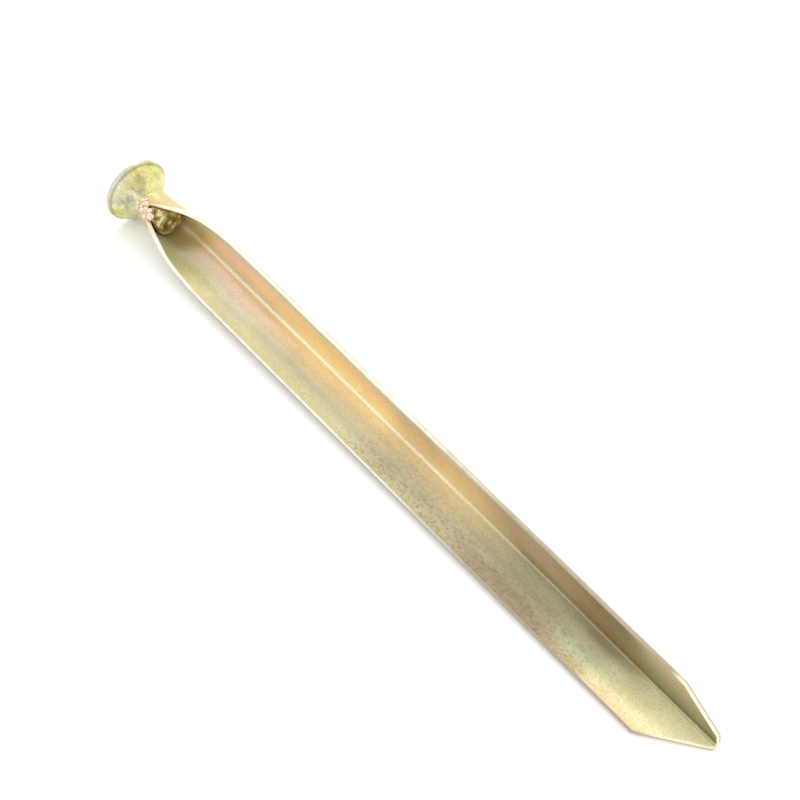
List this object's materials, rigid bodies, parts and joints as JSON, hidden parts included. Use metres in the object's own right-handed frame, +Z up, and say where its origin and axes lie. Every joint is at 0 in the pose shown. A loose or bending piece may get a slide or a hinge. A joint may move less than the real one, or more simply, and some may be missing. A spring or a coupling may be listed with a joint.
{
  "type": "tent stake",
  "caption": "Heavy V-section steel tent stake with a flared hammer head on a pin crimped and welded into its top, zinc plated.",
  "frame": {"origin": "under the middle of the stake's length, level with the lowest point of the head's rim", "axes": "+X from the head along the stake to its point; +Z up, away from the channel's horizontal wall; +Y towards the upright wall"},
  "size_m": [0.3, 0.0244, 0.0245],
  "materials": {
    "plated_sheet": "satin, yellow zinc plating with a rainbow tint",
    "plated_pin": "satin, yellow zinc plating",
    "weld_metal": "rough, plated over"
  },
  "bodies": {
    "root": {"channel_blade": "plated_sheet", "head_pin": "plated_pin", "neck_weld": "weld_metal", "seam_weld": "weld_metal"}
  },
  "joints": []
}
